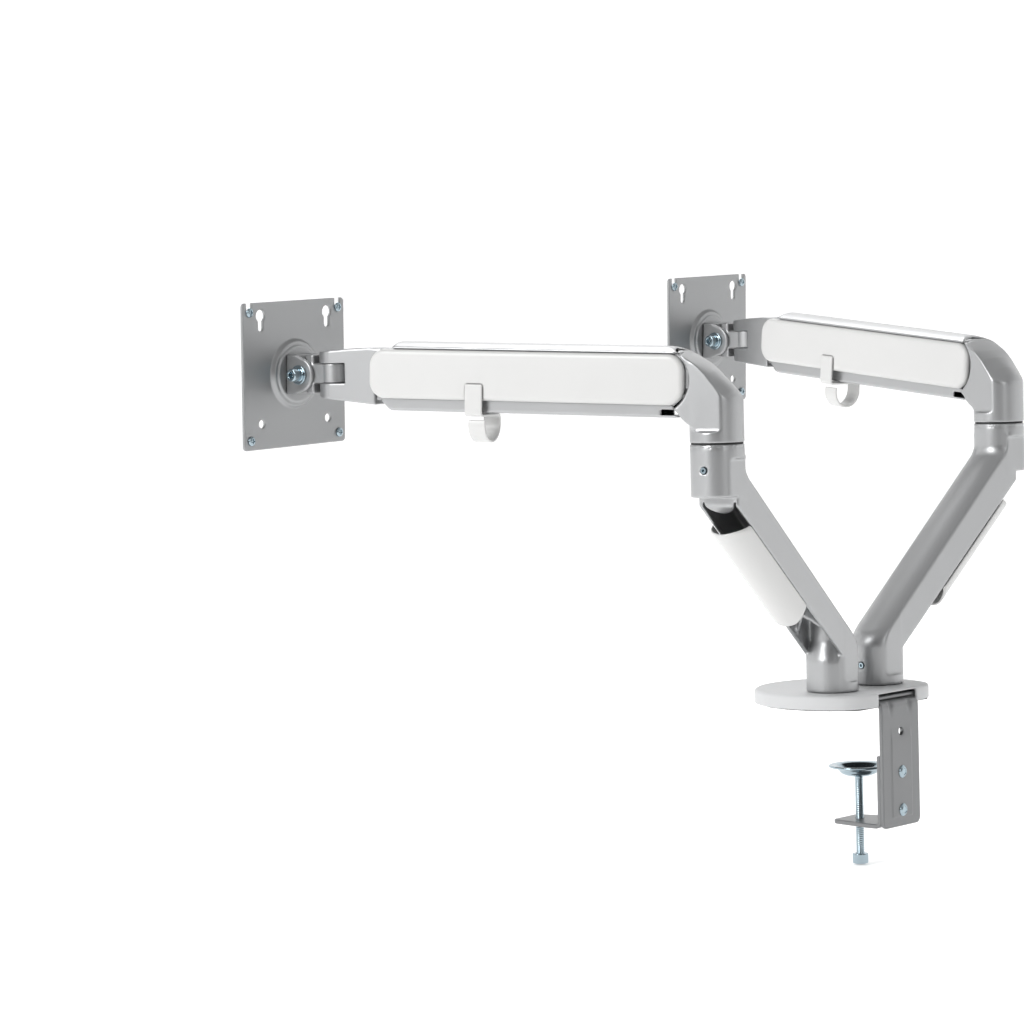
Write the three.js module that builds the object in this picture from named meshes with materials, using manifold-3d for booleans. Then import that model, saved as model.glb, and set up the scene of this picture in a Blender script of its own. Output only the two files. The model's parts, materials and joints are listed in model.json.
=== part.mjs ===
// Dual monitor arm on a desk clamp, in millimetres, +Z up.
// The origin is on the desk surface, midway between the two posts. +Y is towards the desk's rear
// edge, where the clamp grips, and the VESA plates face -Y, towards the person at the desk.
// Both arms are the same parts, so one set of functions makes them and a yaw angle poses each.
import * as THREE from 'three';
import { mergeVertices } from 'three/addons/utils/BufferGeometryUtils.js';
import Module from 'manifold-3d';

const wasm = await Module();
wasm.setup();

// ---------- driving dimensions ----------
const coverTop = 12;            // top of the base cover above the desk
const coverRadius = 70.5;       // the base is a disc ...
const coverCentreY = -11;       // ... centred here ...
const coverBackY = 40;          // ... and cut straight across at the desk's rear edge
const coverCorner = 12;
const postSpacing = 62.4;
const tubeRadius = 20.3;        // outside of the cast sockets at every vertical joint
const postRadius = 13;
const running = 0.3;            // gap left between pieces that touch or turn

const lowerReach = 162.3;       // lower arm, post axis to elbow axis
const jointHeight = 200.8;      // elbow joint line above the cover
const castingHalf = 17.5;       // flat sides of the castings
const lowerWall = 3.2;
const topSlope = 0.855;         // rise per mm of the lower arm's upper edge
const underSlope = 0.83;        // and of its underside

const pivotX = 40;              // main pivot, forward of the elbow axis
const pivotZ = 48;              // and above the joint line
const linkLength = 230;         // parallelogram, pivot to pivot
const linkDrop = 15;            // lower pivots below the upper ones
const crownSweep = 24.9;        // radius that the rear of the top link turns in
const coverSweep = 25.3;        // radius that the elbow leaves free for it

const padHalfHeight = 19;
const padInner = 13.8;
const padOuter = 18.6;
const swivelX = 50;             // front pivot to swivel axis
const tiltX = 26;               // swivel axis to tilt axis
const plateX = 45.2;            // swivel axis to the back of the VESA plate
const plateSize = 115;
const plateThickness = 2.5;
const vesaHalf = 50;            // 100 mm hole pattern
const smallVesaHalf = 37.5;     // 75 mm hole pattern

// How each arm stands: yaw of the lower arm and of the upper arm, pitch, tilt and plate turn.
const poses = {
  right: { side: 1, lowerYaw: 5.1, upperYaw: -76.1, pitch: 2.0 },
  left: { side: -1, lowerYaw: 174.9, upperYaw: -103.9, pitch: 5.6 },
};
const plateTilt = 2.8;
const plateTurn = -1.8;

const round = 24;               // sides of a large cylinder
const small = 12;               // sides of a small one

// ---------- materials ----------
function finish(color, roughness, metalness) {
  return new THREE.MeshStandardMaterial({ color, roughness, metalness });
}
const paintedAlloy = finish(0xa9abad, 0.45, 0.3);
const paintedSteel = finish(0x96989a, 0.45, 0.3);
const whitePlastic = finish(0xf0f0ef, 0.4, 0);
const greyPlastic = finish(0xe0e1e1, 0.5, 0);
const zinc = finish(0x9fb2b8, 0.25, 0.9);
const darkPlastic = finish(0x2b2b2c, 0.6, 0);
const foam = finish(0x222222, 0.9, 0);
const springSteel = finish(0x303134, 0.35, 0.5);

// ---------- solids ----------
const rad = (degrees) => degrees * Math.PI / 180;

function signedVolume(p, t) {
  let sum = 0;
  const a = new THREE.Vector3();
  const b = new THREE.Vector3();
  const c = new THREE.Vector3();
  for (let i = 0; i < t.length; i += 3) {
    a.fromArray(p, t[i] * 3);
    b.fromArray(p, t[i + 1] * 3);
    c.fromArray(p, t[i + 2] * 3);
    sum += a.dot(b.cross(c));
  }
  return sum;
}

// A closed three.js geometry becomes a solid, with its faces turned outwards.
function toSolid(geometry) {
  geometry.deleteAttribute('normal');
  geometry.deleteAttribute('uv');
  const merged = mergeVertices(geometry, 1e-4);
  const p = merged.attributes.position.array;
  const triangles = [];
  const index = merged.index.array;
  for (let i = 0; i < index.length; i += 3) {
    const [a, b, c] = [index[i], index[i + 1], index[i + 2]];
    if (a !== b && b !== c && c !== a) triangles.push(a, b, c);
  }
  if (signedVolume(p, triangles) < 0) triangles.reverse();
  return new wasm.Manifold(new wasm.Mesh({
    numProp: 3,
    vertProperties: new Float32Array(p),
    triVerts: new Uint32Array(triangles),
  }));
}

function toGeometry(solid) {
  const mesh = solid.getMesh();
  const geometry = new THREE.BufferGeometry();
  geometry.setAttribute('position', new THREE.BufferAttribute(new Float32Array(mesh.vertProperties), 3));
  geometry.setIndex(new THREE.BufferAttribute(new Uint32Array(mesh.triVerts), 1));
  geometry.computeVertexNormals();
  return geometry;
}

// The three drawing planes: where a shape's x, its y and the extrusion point.
const planes = {
  xy: [[1, 0, 0], [0, 1, 0], [0, 0, 1]],
  yz: [[0, 1, 0], [0, 0, 1], [1, 0, 0]],
  xz: [[1, 0, 0], [0, 0, 1], [0, -1, 0]],
};

// A shape drawn in a plane and extruded from one height to another along the plane's normal axis.
function prism(shape, plane, from, to, sides = 10) {
  const geometry = new THREE.ExtrudeGeometry(shape, {
    depth: to - from, bevelEnabled: false, curveSegments: sides,
  });
  const [u, v, w] = planes[plane].map((axis) => new THREE.Vector3(...axis));
  geometry.translate(0, 0, plane === 'xz' ? -to : from);
  geometry.applyMatrix4(new THREE.Matrix4().makeBasis(u, v, w));
  return toSolid(geometry);
}

function box(x0, x1, y0, y1, z0, z1) {
  const geometry = new THREE.BoxGeometry(x1 - x0, y1 - y0, z1 - z0);
  geometry.translate((x0 + x1) / 2, (y0 + y1) / 2, (z0 + z1) / 2);
  return toSolid(geometry);
}

// A cylinder along an axis from one place to another, through a point given by the other two axes.
function bar(axis, radius, from, to, [u, v] = [0, 0], sides = small) {
  const geometry = new THREE.CylinderGeometry(radius, radius, to - from, sides);
  const middle = (from + to) / 2;
  if (axis === 'x') geometry.rotateZ(Math.PI / 2).translate(middle, u, v);
  if (axis === 'y') geometry.translate(u, middle, v);
  if (axis === 'z') geometry.rotateX(Math.PI / 2).translate(u, v, middle);
  return toSolid(geometry);
}

// A profile of [radius, height] points turned about an axis. It starts and ends on the axis.
function turned(axis, points, [u, v] = [0, 0], sides = small) {
  const geometry = new THREE.LatheGeometry(points.map(([r, h]) => new THREE.Vector2(r, h)), sides);
  if (axis === 'x') geometry.rotateZ(-Math.PI / 2).translate(0, u, v);
  if (axis === 'y') geometry.translate(u, 0, v);
  if (axis === 'z') geometry.rotateX(Math.PI / 2).translate(u, v, 0);
  return toSolid(geometry);
}

function outline(points) {
  return new THREE.Shape(points.map(([x, y]) => new THREE.Vector2(x, y)));
}

function roundedRect(x0, y0, x1, y1, r) {
  const shape = new THREE.Shape();
  shape.moveTo(x0 + r, y0);
  shape.lineTo(x1 - r, y0);
  shape.absarc(x1 - r, y0 + r, r, -Math.PI / 2, 0);
  shape.lineTo(x1, y1 - r);
  shape.absarc(x1 - r, y1 - r, r, 0, Math.PI / 2);
  shape.lineTo(x0 + r, y1);
  shape.absarc(x0 + r, y1 - r, r, Math.PI / 2, Math.PI);
  shape.lineTo(x0, y0 + r);
  shape.absarc(x0 + r, y0 + r, r, Math.PI, Math.PI * 1.5);
  return shape;
}

// A strip of constant thickness along a bent line in a plane, such as folded sheet metal.
function strip(points, thickness) {
  const left = [];
  const right = [];
  points.forEach(([x, y], i) => {
    const [ax, ay] = points[Math.max(i - 1, 0)];
    const [bx, by] = points[Math.min(i + 1, points.length - 1)];
    const length = Math.hypot(bx - ax, by - ay);
    const nx = -(by - ay) / length * thickness / 2;
    const ny = (bx - ax) / length * thickness / 2;
    left.push([x + nx, y + ny]);
    right.unshift([x - nx, y - ny]);
  });
  return outline([...left, ...right]);
}

// Points along an arc, angles in degrees.
function arc(cx, cy, r, from, to, steps) {
  const points = [];
  for (let i = 0; i <= steps; i++) {
    const a = rad(from + (to - from) * i / steps);
    points.push([cx + r * Math.cos(a), cy + r * Math.sin(a)]);
  }
  return points;
}

function place(group, name, solid, material) {
  const mesh = new THREE.Mesh(toGeometry(solid), material);
  mesh.name = name;
  group.add(mesh);
}

function subGroup(parent, [x, y, z], axis = 'z', degrees = 0) {
  const group = new THREE.Group();
  group.position.set(x, y, z);
  group.rotation[axis] = rad(degrees);
  parent.add(group);
  return group;
}

// ---------- base and clamp ----------
// The base outline: a disc cut straight at the back, with rounded corners, drawn in by an inset.
function baseOutline(inset) {
  const r = coverRadius - inset;
  const back = coverBackY - inset;
  const corner = coverCorner - inset;
  const rise = back - corner - coverCentreY;
  const cornerX = Math.sqrt((r - corner) ** 2 - rise ** 2);
  const angle = Math.atan2(rise, cornerX);
  const shape = new THREE.Shape();
  shape.moveTo(-cornerX, back);
  shape.lineTo(cornerX, back);
  shape.absarc(cornerX, back - corner, corner, Math.PI / 2, angle, true);
  shape.absarc(0, coverCentreY, r, angle, -Math.PI - angle, true);
  shape.absarc(-cornerX, back - corner, corner, Math.PI - angle, Math.PI / 2, true);
  return shape;
}

const sheet = 3.5;              // clamp bracket thickness
const bracketHalf = 25.4;
const bracketY = 42;            // outer face of the upper bracket
const bracketBottom = -94.8;
const flangeTop = 4.8;
const boltHeights = [-52, -82];
const spareHole = -20.2;
const screwY = 1.5;
const screwRadius = 3.35;
const cupRim = -49;

function baseCover() {
  const fillet = 2.5;
  const underside = 0.8;
  const geometry = new THREE.ExtrudeGeometry(baseOutline(0), {
    depth: 20 - 2 * fillet, bevelThickness: fillet, bevelSize: fillet, bevelOffset: -fillet,
    bevelSegments: 2, curveSegments: 10,
  });
  geometry.translate(0, 0, coverTop - 20 + fillet);
  return toSolid(geometry)
    .subtract(box(-90, 90, -100, 60, -20, underside))
    .subtract(prism(baseOutline(2.6), 'xy', -1, 9.2, 8))
    .subtract(box(-26, 26, 25, 45, -1, 10.6))
    .subtract(bar('z', postRadius + running, 5, 15, [postSpacing / 2, 0], round))
    .subtract(bar('z', postRadius + running, 5, 15, [-postSpacing / 2, 0], round));
}

function basePlate() {
  return prism(baseOutline(3.2), 'xy', 1.5, 8.1, 8)
    .subtract(box(-bracketHalf - running, bracketHalf + running, -22, 50, 0, flangeTop + running));
}

function upperBracket() {
  const mid = sheet / 2;
  const bend = 6 - mid;
  const line = [
    [-20, flangeTop - mid],
    ...arc(bracketY - 6, flangeTop - 6, bend, 90, 0, 6),
    [bracketY - mid, bracketBottom],
  ];
  return prism(strip(line, sheet), 'yz', -bracketHalf, bracketHalf)
    .intersect(prism(roundedRect(-bracketHalf, bracketBottom, bracketHalf, 20, 5), 'xz', -40, 60, 4))
    .subtract(bar('y', 3.15, 30, 50, [0, spareHole]))
    .subtract(bar('y', 3.3, 30, 50, [0, boltHeights[0]]))
    .subtract(bar('y', 3.3, 30, 50, [0, boltHeights[1]]));
}

function lowerBracket() {
  const mid = sheet / 2;
  const inner = bracketY - sheet - running - mid;
  const line = [
    [inner, -38],
    ...arc(inner - 4, bracketBottom + mid + 4, 4, 0, -90, 5),
    [-13, bracketBottom + mid],
  ];
  const plan = new THREE.Shape();
  plan.moveTo(-24, 60);
  plan.lineTo(-24, 24);
  plan.lineTo(-17.5, -9);
  plan.quadraticCurveTo(-17, -13, -13, -13);
  plan.lineTo(13, -13);
  plan.quadraticCurveTo(17, -13, 17.5, -9);
  plan.lineTo(24, 24);
  plan.lineTo(24, 60);
  return prism(strip(line, sheet), 'yz', -24, 24)
    .intersect(prism(plan, 'xy', -120, 0, 5))
    .subtract(bar('z', screwRadius + running, -110, -80, [0, screwY]))
    .subtract(bar('y', 3.3, 30, 40, [0, boltHeights[0]]))
    .subtract(bar('y', 3.3, 30, 40, [0, boltHeights[1]]));
}

function clampBolt(height) {
  const face = bracketY + running;
  return turned('y', [[0, 32], [3, 32], [3, face], [5.4, face],
    [5.2, face + 1.4], [3.8, face + 2.8], [0, face + 3.4]],
    [0, height]);
}

function clampScrew() {
  const shaftTop = cupRim - 9.6;
  const headTop = -119.3;
  const headBottom = -127.2;
  const socket = toSolid(new THREE.CylinderGeometry(3, 3, 9, 6).rotateX(Math.PI / 2)
    .translate(0, screwY, headBottom));
  return turned('z', [
    [0, headBottom], [5.6, headBottom], [6.25, headBottom + 0.6], [6.25, headTop],
    [screwRadius, headTop], [screwRadius, shaftTop], [0, shaftTop],
  ], [0, screwY]).subtract(socket);
}

function clampCup() {
  const t = 1.8;
  const floor = cupRim - 9;
  return turned('z', [
    [0, floor], [11.5, floor], [15.5, cupRim - t - 1], [23.5, cupRim - t], [23.8, cupRim - 0.9],
    [23.5, cupRim], [15, cupRim], [10.8, floor + t], [0, floor + t],
  ], [0, screwY], round).subtract(bar('z', 2.6, floor - 5, floor + 5, [0, screwY]));
}

function cupScrew() {
  const floor = cupRim - 9 + 1.8 + running;
  return turned('z', [[0, floor - 2.2], [2.3, floor - 2.2], [2.3, floor],
    [4.2, floor], [3.4, floor + 1.6], [0, floor + 2]],
    [0, screwY]);
}

function makeBase(parent) {
  const half = postSpacing / 2;
  place(parent, 'desk_pad', prism(baseOutline(3.4), 'xy', 0, 1, 8), foam);
  place(parent, 'base_plate', basePlate(), paintedSteel);
  place(parent, 'base_cover', baseCover(), greyPlastic);
  place(parent, 'upper_clamp_bracket', upperBracket(), paintedSteel);
  place(parent, 'lower_clamp_bracket', lowerBracket(), paintedSteel);
  place(parent, 'clamp_bolt_upper', clampBolt(boltHeights[0]), zinc);
  place(parent, 'clamp_bolt_lower', clampBolt(boltHeights[1]), zinc);
  place(parent, 'clamp_screw', clampScrew(), zinc);
  place(parent, 'clamp_cup', clampCup(), zinc);
  place(parent, 'cup_screw', cupScrew(), zinc);
  for (const [name, side] of [['right', 1], ['left', -1]]) {
    const post = turned('z', [[0, 8.4], [postRadius, 8.4], [postRadius, 49], [postRadius - 2, 51], [0, 51]],
      [side * half, 0], round);
    place(parent, `${name}_post`, post, zinc);
  }
}

// ---------- lower arm: x along the arm from the post axis, z up from the base cover ----------
const underside = (x) => 19.15 + underSlope * x;
const upside = (x) => 38 + topSlope * (x + tubeRadius);

function lowerArm() {
  const foot = running;
  const head = jointHeight - 0.6;
  const end = lowerReach + tubeRadius;
  const innerEnd = lowerReach - tubeRadius;
  const side = outline([
    [-tubeRadius, foot], [tubeRadius, foot], [tubeRadius, underside(tubeRadius)],
    [172, underside(172)], [end, underside(172) - 1], [end, head], [innerEnd, head],
    [innerEnd, upside(innerEnd)], [-tubeRadius, upside(-tubeRadius)],
  ]);
  // round sockets, with flat cheeks between them that stop short of both joint faces
  const cheek = 14;
  const scallop = 11;
  const beam = outline([
    [0, underside(0)], [lowerReach, underside(lowerReach)], [lowerReach, jointHeight - scallop],
    [lowerReach - cheek, jointHeight - scallop], [lowerReach - cheek, upside(innerEnd) + 4],
    [0, upside(0)], [-cheek, upside(-cheek)], [-cheek, scallop - 3], [0, scallop - 3],
  ]);
  const plan = bar('z', tubeRadius, 0, 201, [0, 0], round)
    .add(bar('z', tubeRadius, 0, 201, [lowerReach, 0], round))
    .add(prism(beam, 'xz', -castingHalf, castingHalf));
  let casting = prism(side, 'xz', -25, 25).intersect(plan);

  // the upper face is arched across its width
  const crown = new THREE.Shape();
  crown.moveTo(-21, -80);
  crown.lineTo(21, -80);
  crown.lineTo(21, -8);
  crown.quadraticCurveTo(16.5, 0, 0, 0);
  crown.quadraticCurveTo(-16.5, 0, -21, -8);
  const slope = Math.atan(topSlope);
  const arch = prism(crown, 'yz', -90, 290, 6).rotate([0, -slope * 180 / Math.PI, 0])
    .translate([-tubeRadius, 0, upside(-tubeRadius)]);
  casting = casting.intersect(arch.add(box(120, 200, -25, 25, 170, 205)));

  // open channel below, with a boss left round each socket
  const channelSide = outline([
    [9, 20], [9, upside(9) - 5.5], [innerEnd, upside(innerEnd) - 5.5], [158, 174], [172, 166], [172, 150],
  ]);
  const bosses = bar('z', 16.4, 0, 47, [0, 0], round)
    .add(bar('z', 16.4, 160, 201, [lowerReach, 0], round));
  const hollow = castingHalf - lowerWall;
  const channel = prism(channelSide, 'xz', -hollow, hollow).subtract(bosses);
  casting = casting.subtract(channel);

  // crossed ribs in the channel, kept 4 mm back from its mouth
  for (const turn of [40, -40]) {
    const rib = box(-24, 24, -1, 1, 0, 150).rotate([0, 0, turn]).translate([47, 0, 0]);
    casting = casting.add(rib.intersect(channel.translate([0, 0, 12]).intersect(channel)));
  }
  return casting
    .subtract(bar('z', postRadius + running, -5, 42, [0, 0], round))
    .subtract(bar('z', postRadius + running, 164.5, 205, [lowerReach, 0], round))
    .subtract(bar('x', 2.6, -25, -16, [0, 16]))
    .subtract(bar('x', 2.6, end - 5, end + 5, [0, jointHeight - 19.5]));
}

// Half-round cover over the cables, on the underside of the lower arm.
function cableCover() {
  const halfLength = 59;
  const halfWidth = 17.3;
  const bulge = 13.8;
  const radius = (halfWidth ** 2 + bulge ** 2) / (2 * bulge);
  const spread = Math.asin(halfWidth / radius) * 180 / Math.PI;
  const line = arc(0, radius - bulge, radius - 1, -90 - spread, -90 + spread, 14);
  const shell = prism(strip(line, 2), 'yz', -halfLength, halfLength);
  const plan = prism(roundedRect(-halfLength, -halfWidth - 0.5, halfLength, halfWidth + 0.5, 13), 'xy', -20, 5, 5);
  const middle = 105.9;
  return shell.intersect(plan).rotate([0, -Math.atan(underSlope) * 180 / Math.PI, 0])
    .translate([middle, 0, underside(middle) - 2.5]);
}

function lockScrew(x, facing, z) {
  const tip = facing > 0 ? x - 4.5 : x + 4.5;
  const body = bar('x', 2.3, Math.min(tip, x), Math.max(tip, x), [0, z]);
  const socket = toSolid(new THREE.CylinderGeometry(1.25, 1.25, 4, 6).rotateZ(Math.PI / 2).translate(x, 0, z));
  return body.subtract(socket);
}

function makeLowerArm(parent, arm) {
  const end = lowerReach + tubeRadius;
  place(parent, `${arm}_lower_arm`, lowerArm(), paintedAlloy);
  place(parent, `${arm}_cable_cover`, cableCover(), whitePlastic);
  place(parent, `${arm}_base_lock_screw`, lockScrew(-tubeRadius - 0.4, -1, 16), zinc);
  place(parent, `${arm}_elbow_lock_screw`, lockScrew(end + 0.4, 1, jointHeight - 19.5), zinc);
  const washer = bar('z', tubeRadius - 0.7, jointHeight - 0.3, jointHeight + 0.3, [lowerReach, 0], round)
    .subtract(bar('z', postRadius + running, jointHeight - 2, jointHeight + 2, [lowerReach, 0], round));
  place(parent, `${arm}_elbow_washer`, washer, darkPlastic);
}

// ---------- elbow: x forward along the upper arm, z up from the joint line ----------
function elbow() {
  const foot = 0.6;
  const shape = new THREE.Shape();
  shape.moveTo(-tubeRadius, foot);
  shape.lineTo(tubeRadius, foot);
  shape.lineTo(tubeRadius, 15);
  shape.quadraticCurveTo(22, 21, 27.5, 26);
  shape.lineTo(pivotX, 30);
  shape.lineTo(pivotX, 73);
  shape.lineTo(30.5, 71.5);
  shape.splineThru([[23, 68.2], [16, 63.9], [8, 59], [-0.5, 53.7], [-10, 45.5], [-16, 39], [-tubeRadius, 31]]
    .map(([x, z]) => new THREE.Vector2(x, z)));
  const body = prism(shape, 'xz', -25, 25, 20);
  const plan = bar('z', tubeRadius, 0, 90, [0, 0], round).add(box(0, 60, -castingHalf, castingHalf, 0, 90));
  const shoulder = new THREE.Shape();
  shoulder.moveTo(-21, -40);
  shoulder.lineTo(21, -40);
  shoulder.lineTo(21, 54);
  shoulder.quadraticCurveTo(17, 72, 0, 72);
  shoulder.quadraticCurveTo(-17, 72, -21, 54);
  const around = prism(shoulder, 'yz', -30, 60, 6);
  const pivot = [pivotX, pivotZ];
  const lower = [pivotX, pivotZ - linkDrop];
  const atY = (r, [x, z], half) => bar('y', r, -half, half, [x, z], round);
  let casting = body.intersect(plan).intersect(around)
    .subtract(atY(coverSweep, pivot, 30))
    .subtract(atY(20.4, lower, 13.9));

  // the tongue that carries both rear pins, between the walls of the links
  const tongue = outline([
    ...arc(pivotX, pivotZ, 9, 0, 110, 6), [20, 55], [8, 49], [6, 36], [26, pivotZ - linkDrop + 2],
    ...arc(pivotX, pivotZ - linkDrop, 6, 200, 360, 8),
  ]);
  casting = casting.add(prism(tongue, 'xz', -8.5, 8.5));
  const spigot = bar('z', postRadius, -34, 5, [0, 0], round);
  return casting.add(spigot)
    .subtract(bar('z', 8, -40, 4, [0, 0]))
    .subtract(atY(2.6, pivot, 30))
    .subtract(atY(2.6, lower, 30));
}

// ---------- upper arm links: x forward from the rear pivot, z up from it ----------
function topLink() {
  const half = 17;
  const wallOut = 13.4;
  const wallIn = 11.8;
  const wallFoot = -6.5;
  const crown = new THREE.Shape();
  crown.moveTo(wallOut, wallFoot);
  crown.lineTo(wallOut, 19.4);
  crown.lineTo(half, 19.4);
  crown.lineTo(half, 20.6);
  crown.quadraticCurveTo(13, 24.8, 0, 24.8);
  crown.quadraticCurveTo(-13, 24.8, -half, 20.6);
  crown.lineTo(-half, 19.4);
  crown.lineTo(-wallOut, 19.4);
  crown.lineTo(-wallOut, wallFoot);
  crown.lineTo(-wallIn, wallFoot);
  crown.lineTo(-wallIn, 19.6);
  crown.quadraticCurveTo(-8, 22.6, 0, 22.6);
  crown.quadraticCurveTo(8, 22.6, wallIn, 19.6);
  crown.lineTo(wallIn, wallFoot);
  const front = linkLength;
  const side = outline([
    ...arc(0, 0, crownSweep, 195, 90, 10), [front - 7.5, crownSweep],
    ...arc(front, 0, 20.3, 112, 130, 3), [front - 8, 7],
    ...arc(front, 0, 6.5, 120, -90, 8), [0, wallFoot],
  ]);
  return prism(crown, 'yz', -24, front + 10, 6).intersect(prism(side, 'xz', -20, 20))
    .subtract(bar('y', 2.6, -30, 30, [0, 0]))
    .subtract(bar('y', 2.6, -30, 30, [front, 0]));
}

function bottomLink() {
  const half = 13.2;
  const wall = 1.6;
  const foot = -13.5;
  const top = 3.8;
  const front = linkLength;
  const section = outline([
    [half, top], [half, foot + 2.5], [half - 2.5, foot],
    [-half + 2.5, foot], [-half, foot + 2.5], [-half, top],
    [-half + wall, top], [-half + wall, foot + 3], [-half + 3, foot + wall], [half - 3, foot + wall],
    [half - wall, foot + 3], [half - wall, top],
  ]);
  const side = outline([
    [-14, -8.5], ...arc(-11.5, foot + 2.5, 2.5, 180, 270, 4), [front - 4, foot], [front + 4, -6],
    ...arc(front, 0, 6, -40, 39, 5), [-4.5, top],
  ]);
  return prism(section, 'yz', -20, front + 10).intersect(prism(side, 'xz', -20, 20))
    .subtract(box(-12.8, -1.5, -20, 20, foot + 1.2, foot + 5.4))
    .subtract(bar('y', 2.6, -30, 30, [0, 0]))
    .subtract(bar('y', 2.6, -30, 30, [front, 0]));
}

// A long side cover. The one on the hook's side has a recess for the hook's tab.
const padRear = -21.1;
const padFront = 242.3;
const hookX = 151;
const hookHalf = 7.3;

function sideCover(facing) {
  const shape = roundedRect(padRear, -padHalfHeight, padFront, padHalfHeight, 13);
  const edge = 2;
  const geometry = new THREE.ExtrudeGeometry(shape, {
    depth: padOuter - padInner - edge, bevelThickness: edge, bevelSize: edge, bevelOffset: -edge,
    bevelSegments: 1, curveSegments: 5,
  });
  geometry.applyMatrix4(new THREE.Matrix4().makeBasis(
    new THREE.Vector3(1, 0, 0), new THREE.Vector3(0, 0, 1), new THREE.Vector3(0, -1, 0)));
  // the bevelled back is trimmed flat, the bevelled front faces outwards
  let cover = toSolid(geometry);
  cover = facing > 0
    ? cover.translate([0, padOuter - edge, 0])
    : cover.translate([0, -padInner - edge, 0]);
  const keep = facing > 0
    ? box(-60, 300, padInner, padOuter, -30, 30)
    : box(-60, 300, -padOuter, -padInner, -30, 30);
  cover = cover.intersect(keep);
  if (facing > 0) {
    cover = cover.subtract(box(hookX - hookHalf - 0.5, hookX + hookHalf + 0.5, padOuter - 1.6, 25, -40, -6));
  }
  return cover;
}

// A folded strip: a tab on the side cover, a run under the bottom link and a round loop below it.
function cableHook() {
  const t = 1.9;
  const tabY = padOuter + 0.5;
  const underZ = -30.2;
  const loopR = 13;
  const loopZ = -37.5;
  const line = [
    [tabY, -6.8], [tabY, underZ + 2], ...arc(tabY - 2, underZ + 2, 2, -30, -90, 2),
    [2, underZ], [-loopR + 3, underZ], ...arc(-loopR + 2, underZ - 2, 2, 120, 180, 3),
    ...arc(0, loopZ, loopR, 180, 372, 16),
  ];
  return prism(strip(line, t), 'yz', hookX - hookHalf, hookX + hookHalf);
}

const springZ = 4;
const springRodRadius = 4;

function springCylinder() {
  const bore = springRodRadius + running;
  return turned('x', [
    [0, 132], [bore, 132], [bore, 92], [7, 92], [9, 94], [9, 206], [7, 208], [4, 208], [4, 214], [0, 214],
  ], [0, springZ]);
}

function springRod() {
  const r = springRodRadius;
  return turned('x', [[0, 19], [5, 19], [5, 27], [r, 28], [r, 118], [0, 118]], [0, springZ]);
}

function pin(x, z, half) {
  return bar('y', 2.3, -half, half, [x, z]);
}

function makeUpperArm(elbowGroup, arm, pitch) {
  const top = subGroup(elbowGroup, [pivotX, 0, pivotZ], 'y', -pitch);
  place(top, `${arm}_top_link`, topLink(), paintedAlloy);
  place(top, `${arm}_hook_side_cover`, sideCover(1), whitePlastic);
  place(top, `${arm}_plain_side_cover`, sideCover(-1), whitePlastic);
  place(top, `${arm}_cable_hook`, cableHook(), whitePlastic);
  place(top, `${arm}_spring_cylinder`, springCylinder(), springSteel);
  place(top, `${arm}_spring_rod`, springRod(), zinc);
  place(top, `${arm}_pin_top_rear`, pin(0, 0, 13.3), zinc);
  place(top, `${arm}_pin_top_front`, pin(linkLength, 0, 13.3), zinc);
  const bottom = subGroup(elbowGroup, [pivotX, 0, pivotZ - linkDrop], 'y', -pitch);
  place(bottom, `${arm}_bottom_link`, bottomLink(), paintedAlloy);
  place(bottom, `${arm}_pin_bottom_rear`, pin(0, 0, 13.1), zinc);
  place(bottom, `${arm}_pin_bottom_front`, pin(linkLength, 0, 13.1), zinc);
}

// ---------- head: x forward from the front pivot, z up ----------
const forkTop = 8.6;
const forkBottom = -6.9;
const forkTip = 13.2;

function frontKnuckle() {
  const tip = swivelX + forkTip;
  const side = new THREE.Shape();
  side.moveTo(9.3, -24);
  side.lineTo(tip, -17.6);
  side.lineTo(tip, 17.6);
  side.lineTo(33, 19.7);
  side.lineTo(14, 20.2);
  side.lineTo(3, 19.2);
  side.lineTo(3, 15.2);
  side.lineTo(9.3, 14);
  const plan = box(0, swivelX, -13.5, 13.5, -30, 30).add(bar('z', forkTip, -30, 30, [swivelX, 0], round));
  const gap = box(swivelX - forkTip - 0.8, 90, -20, 20, forkBottom, forkTop);
  const tongue = outline([
    ...arc(0, 0, 6.5, 90, 180, 5), ...arc(0, -linkDrop, 5.4, 180, 270, 5), [12, -19], [12, 6.5],
  ]);
  // a curved lip that stays under the top link's end as the arm pitches
  const lip = outline([...arc(0, 0, 19, 118, 70, 6), [9.8, 14], ...arc(0, 0, 15.5, 70, 118, 6)]);
  return prism(side, 'xz', -20, 20, 6).intersect(plan).subtract(gap)
    .add(prism(tongue, 'xz', -10.8, 10.8))
    .add(prism(lip, 'xz', -11.3, 11.3))
    .subtract(bar('z', 4.3, -30, 30, [swivelX, 0]))
    .subtract(bar('y', 2.6, -30, 30, [0, 0]))
    .subtract(bar('y', 2.6, -30, 30, [0, -linkDrop]));
}

function swivelPin() {
  return turned('z', [[0, -16.5], [4, -16.5], [4, 16.2], [3.4, 16.8], [0, 16.8]]);
}

// x from the swivel axis
const barrel = 10.6;
const earInner = 12;
const earOuter = 15;

function swivelBlock() {
  const tongueTop = forkTop - running;
  const tongueFoot = forkBottom + running;
  const plan = bar('z', 12, tongueFoot, tongueTop, [0, 0], round)
    .add(box(0, 18, -11.6, 11.6, tongueFoot, tongueTop));
  const end = bar('y', barrel, -earInner + running, earInner - running, [tiltX, 0], round)
    .add(box(15.2, tiltX, -earInner + running, earInner - running, -9, 10.4));
  return plan.add(end)
    .subtract(bar('z', 4.3, -30, 30, [0, 0]))
    .subtract(bar('y', 4.3, -30, 30, [tiltX, 0]));
}

// x from the tilt axis
const webBack = 11.2;
const webFront = 14.2;
const earRadius = 13;

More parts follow.
